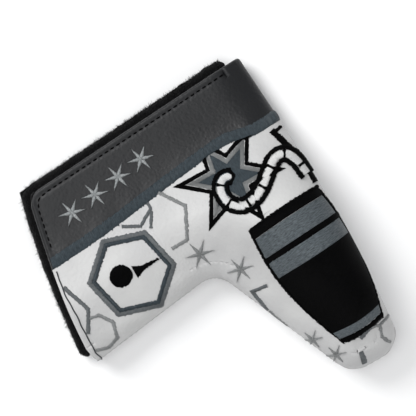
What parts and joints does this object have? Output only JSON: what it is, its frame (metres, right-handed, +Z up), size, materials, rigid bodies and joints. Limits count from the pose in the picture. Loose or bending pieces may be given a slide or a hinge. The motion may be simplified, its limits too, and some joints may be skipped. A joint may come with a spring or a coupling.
{
  "type": "putter head cover",
  "caption": "Padded L-shaped slip-on cover for the head of a blade putter, open at the heel edge and leg top, with a front corner that lifts and raised embroidery on the front.",
  "frame": {"origin": "on the floor plane, under the middle of the bounding box, with the cover lying on its back", "axes": "+X along the sole from the toe towards the heel edge, +Y up the leg from the sole towards the opening, +Z up through the front face"},
  "size_m": [0.1642, 0.141, 0.0428],
  "materials": {
    "white_leather": "pebbled synthetic leather",
    "charcoal_leather": "soft satin synthetic leather",
    "satin_band": "dense satin stitch",
    "foam": "plain foam sheet",
    "fleece": "fuzzy fleece",
    "hook_tape": "hook tape",
    "loop_tape": "loop tape",
    "black_thread": "satin stitch",
    "dark_thread": "topstitch thread",
    "light_thread": "seam thread",
    "mid_grey_thread": "satin stitch",
    "slate_thread": "satin stitch",
    "light_grey_thread": "satin stitch",
    "pale_thread": "satin stitch",
    "heather_thread": "mixed grey satin stitch",
    "silver_thread": "bright satin stitch"
  },
  "bodies": {
    "cover": {"body_leather": "white_leather", "cuff_leather": "charcoal_leather", "join_band": "satin_band", "foam": "foam", "lining": "fleece", "loop_strip": "loop_tape", "small_star_1": "light_grey_thread", "small_star_2": "light_grey_thread", "small_star_3": "light_grey_thread", "emblem_rim": "mid_grey_thread", "emblem_line": "slate_thread", "emblem_ball": "black_thread", "emblem_tee": "black_thread", "hex_large": "light_grey_thread", "hex_small": "mid_grey_thread", "hex_top": "mid_grey_thread", "hex_inner": "light_grey_thread", "hex_corner": "mid_grey_thread", "hex_toe": "mid_grey_thread", "burst_fill": "slate_thread", "burst_rim": "light_grey_thread", "burst_line": "black_thread", "rope_line": "black_thread", "rope_fill": "pale_thread", "barrel_cap": "black_thread", "barrel_band_1": "heather_thread", "barrel_hoop": "black_thread", "barrel_band_2": "heather_thread", "barrel_body": "black_thread", "barrel_band_3": "heather_thread", "barrel_foot": "black_thread", "top_stitch": "dark_thread", "closed_seam": "light_thread"},
    "front_corner": {"body_leather_corner": "white_leather", "cuff_leather_corner": "charcoal_leather", "join_band_corner": "satin_band", "foam_corner": "foam", "lining_corner": "fleece", "hook_strip": "hook_tape", "cuff_star_1": "silver_thread", "cuff_star_2": "silver_thread", "cuff_star_3": "silver_thread", "cuff_star_4": "silver_thread", "cuff_stitch": "black_thread"}
  },
  "joints": [
    {"name": "front_corner_lift", "type": "hinge", "parent": "cover", "child": "front_corner", "pos_m": [0.05046, -0.00258, 0.0197], "axis": [0.3853, -0.9219, -0.0394], "range_deg": [0, 45]}
  ]
}
